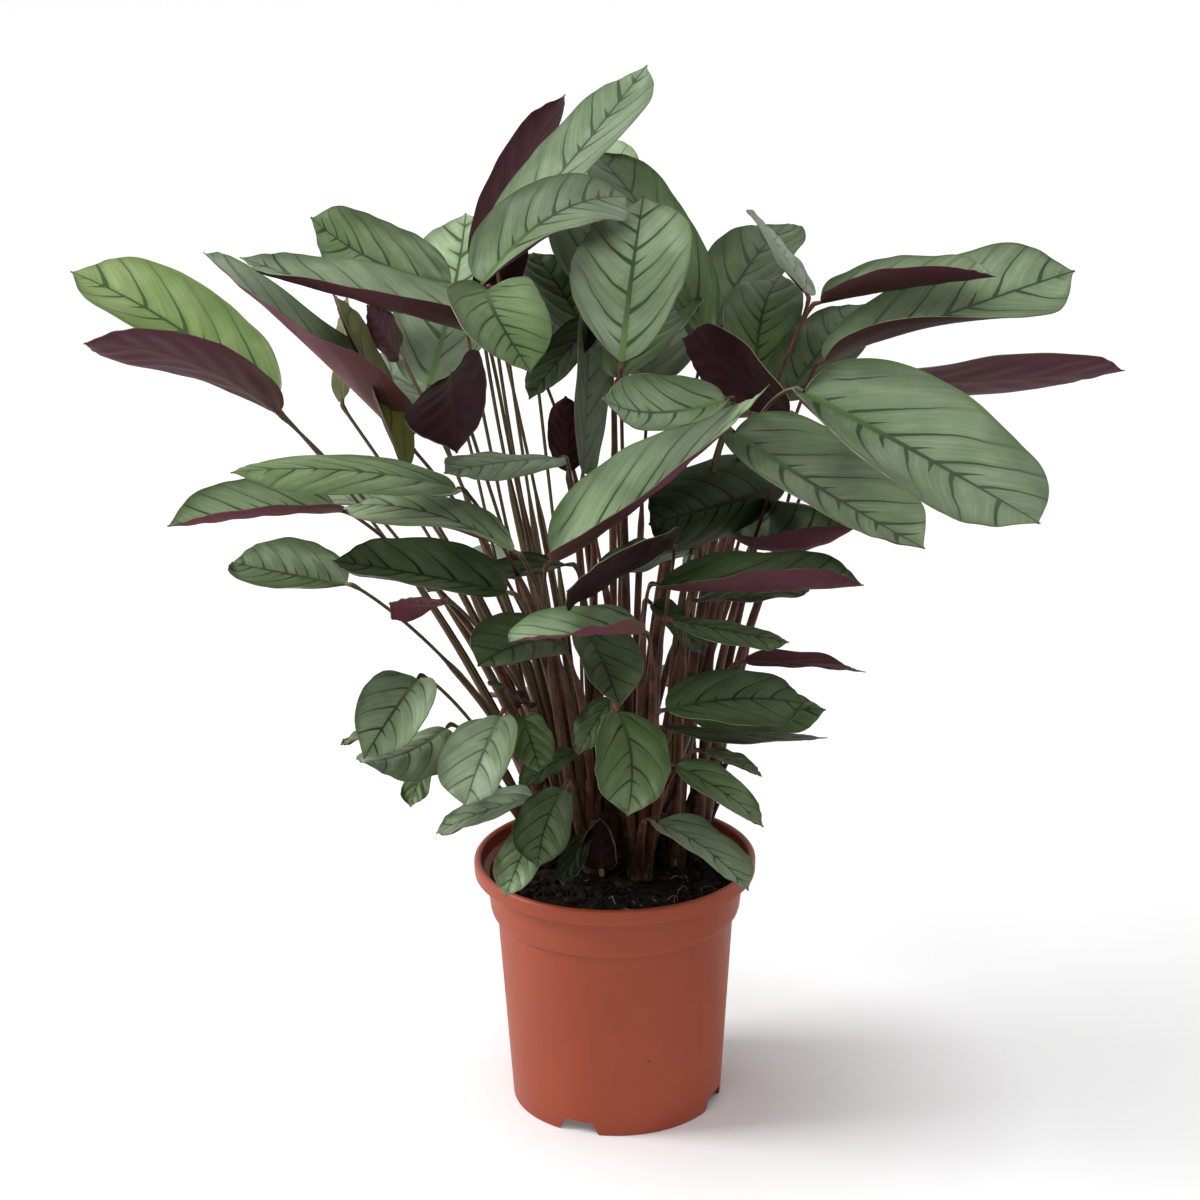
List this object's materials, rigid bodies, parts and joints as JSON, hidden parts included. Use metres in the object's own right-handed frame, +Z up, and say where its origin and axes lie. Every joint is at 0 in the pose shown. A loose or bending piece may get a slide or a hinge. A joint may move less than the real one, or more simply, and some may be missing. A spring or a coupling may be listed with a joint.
{
  "type": "potted ctenanthe",
  "caption": "Bushy ctenanthe with silvery leaves, dark herringbone veins and burgundy undersides on reddish canes, in a round terracotta-coloured plastic nursery pot.",
  "frame": {"origin": "centre of the pot's foot, on the plane it stands on", "axes": "+Z up along the pot's axis, -Y towards the side the plant is seen from, +X to the right of that side"},
  "size_m": [0.6093, 0.5456, 0.6088],
  "materials": {
    "pot_plastic": "satin terracotta-coloured polypropylene",
    "soil_mix": "damp, crumbly dark potting mix",
    "stalk": "satin, reddish-brown sheaths that turn grey-green above",
    "blade": "satin silvery green with dark herringbone veins, burgundy below"
  },
  "bodies": {
    "root": {"pot": "pot_plastic", "soil": "soil_mix", "shoot_front": "stalk", "shoot_front_left": "stalk", "shoot_left": "stalk", "shoot_left_inner": "stalk", "shoot_left_rear": "stalk", "shoot_middle": "stalk", "shoot_rear": "stalk", "shoot_rear_left": "stalk", "shoot_right": "stalk", "shoot_right_front": "stalk", "shoot_right_rear": "stalk", "leaf_front_1": "blade", "leaf_front_2": "blade", "leaf_front_3": "blade", "leaf_front_4": "blade", "leaf_front_5": "blade", "leaf_front_6": "blade", "leaf_front_7": "blade", "leaf_front_left_1": "blade", "leaf_front_left_2": "blade", "leaf_front_left_3": "blade", "leaf_left_1": "blade", "leaf_left_2": "blade", "leaf_left_3": "blade", "leaf_left_inner_1": "blade", "leaf_left_inner_2": "blade", "leaf_left_inner_3": "blade", "leaf_left_rear_1": "blade", "leaf_left_rear_2": "blade", "leaf_left_rear_3": "blade", "leaf_left_rear_4": "blade", "leaf_left_rear_5": "blade", "leaf_left_rear_6": "blade", "leaf_middle_1": "blade", "leaf_middle_2": "blade", "leaf_middle_3": "blade", "leaf_middle_4": "blade", "leaf_middle_5": "blade", "leaf_rear_1": "blade", "leaf_rear_2": "blade", "leaf_rear_3": "blade", "leaf_rear_left_1": "blade", "leaf_rear_left_2": "blade", "leaf_rear_left_3": "blade", "leaf_rear_left_4": "blade", "leaf_rear_left_5": "blade", "leaf_rear_left_6": "blade", "leaf_right_1": "blade", "leaf_right_2": "blade", "leaf_right_3": "blade", "leaf_right_front_1": "blade", "leaf_right_front_2": "blade", "leaf_right_front_3": "blade", "leaf_right_rear_1": "blade", "leaf_right_rear_2": "blade", "leaf_right_rear_3": "blade", "leaf_right_rear_4": "blade", "leaf_right_rear_5": "blade"}
  },
  "joints": []
}
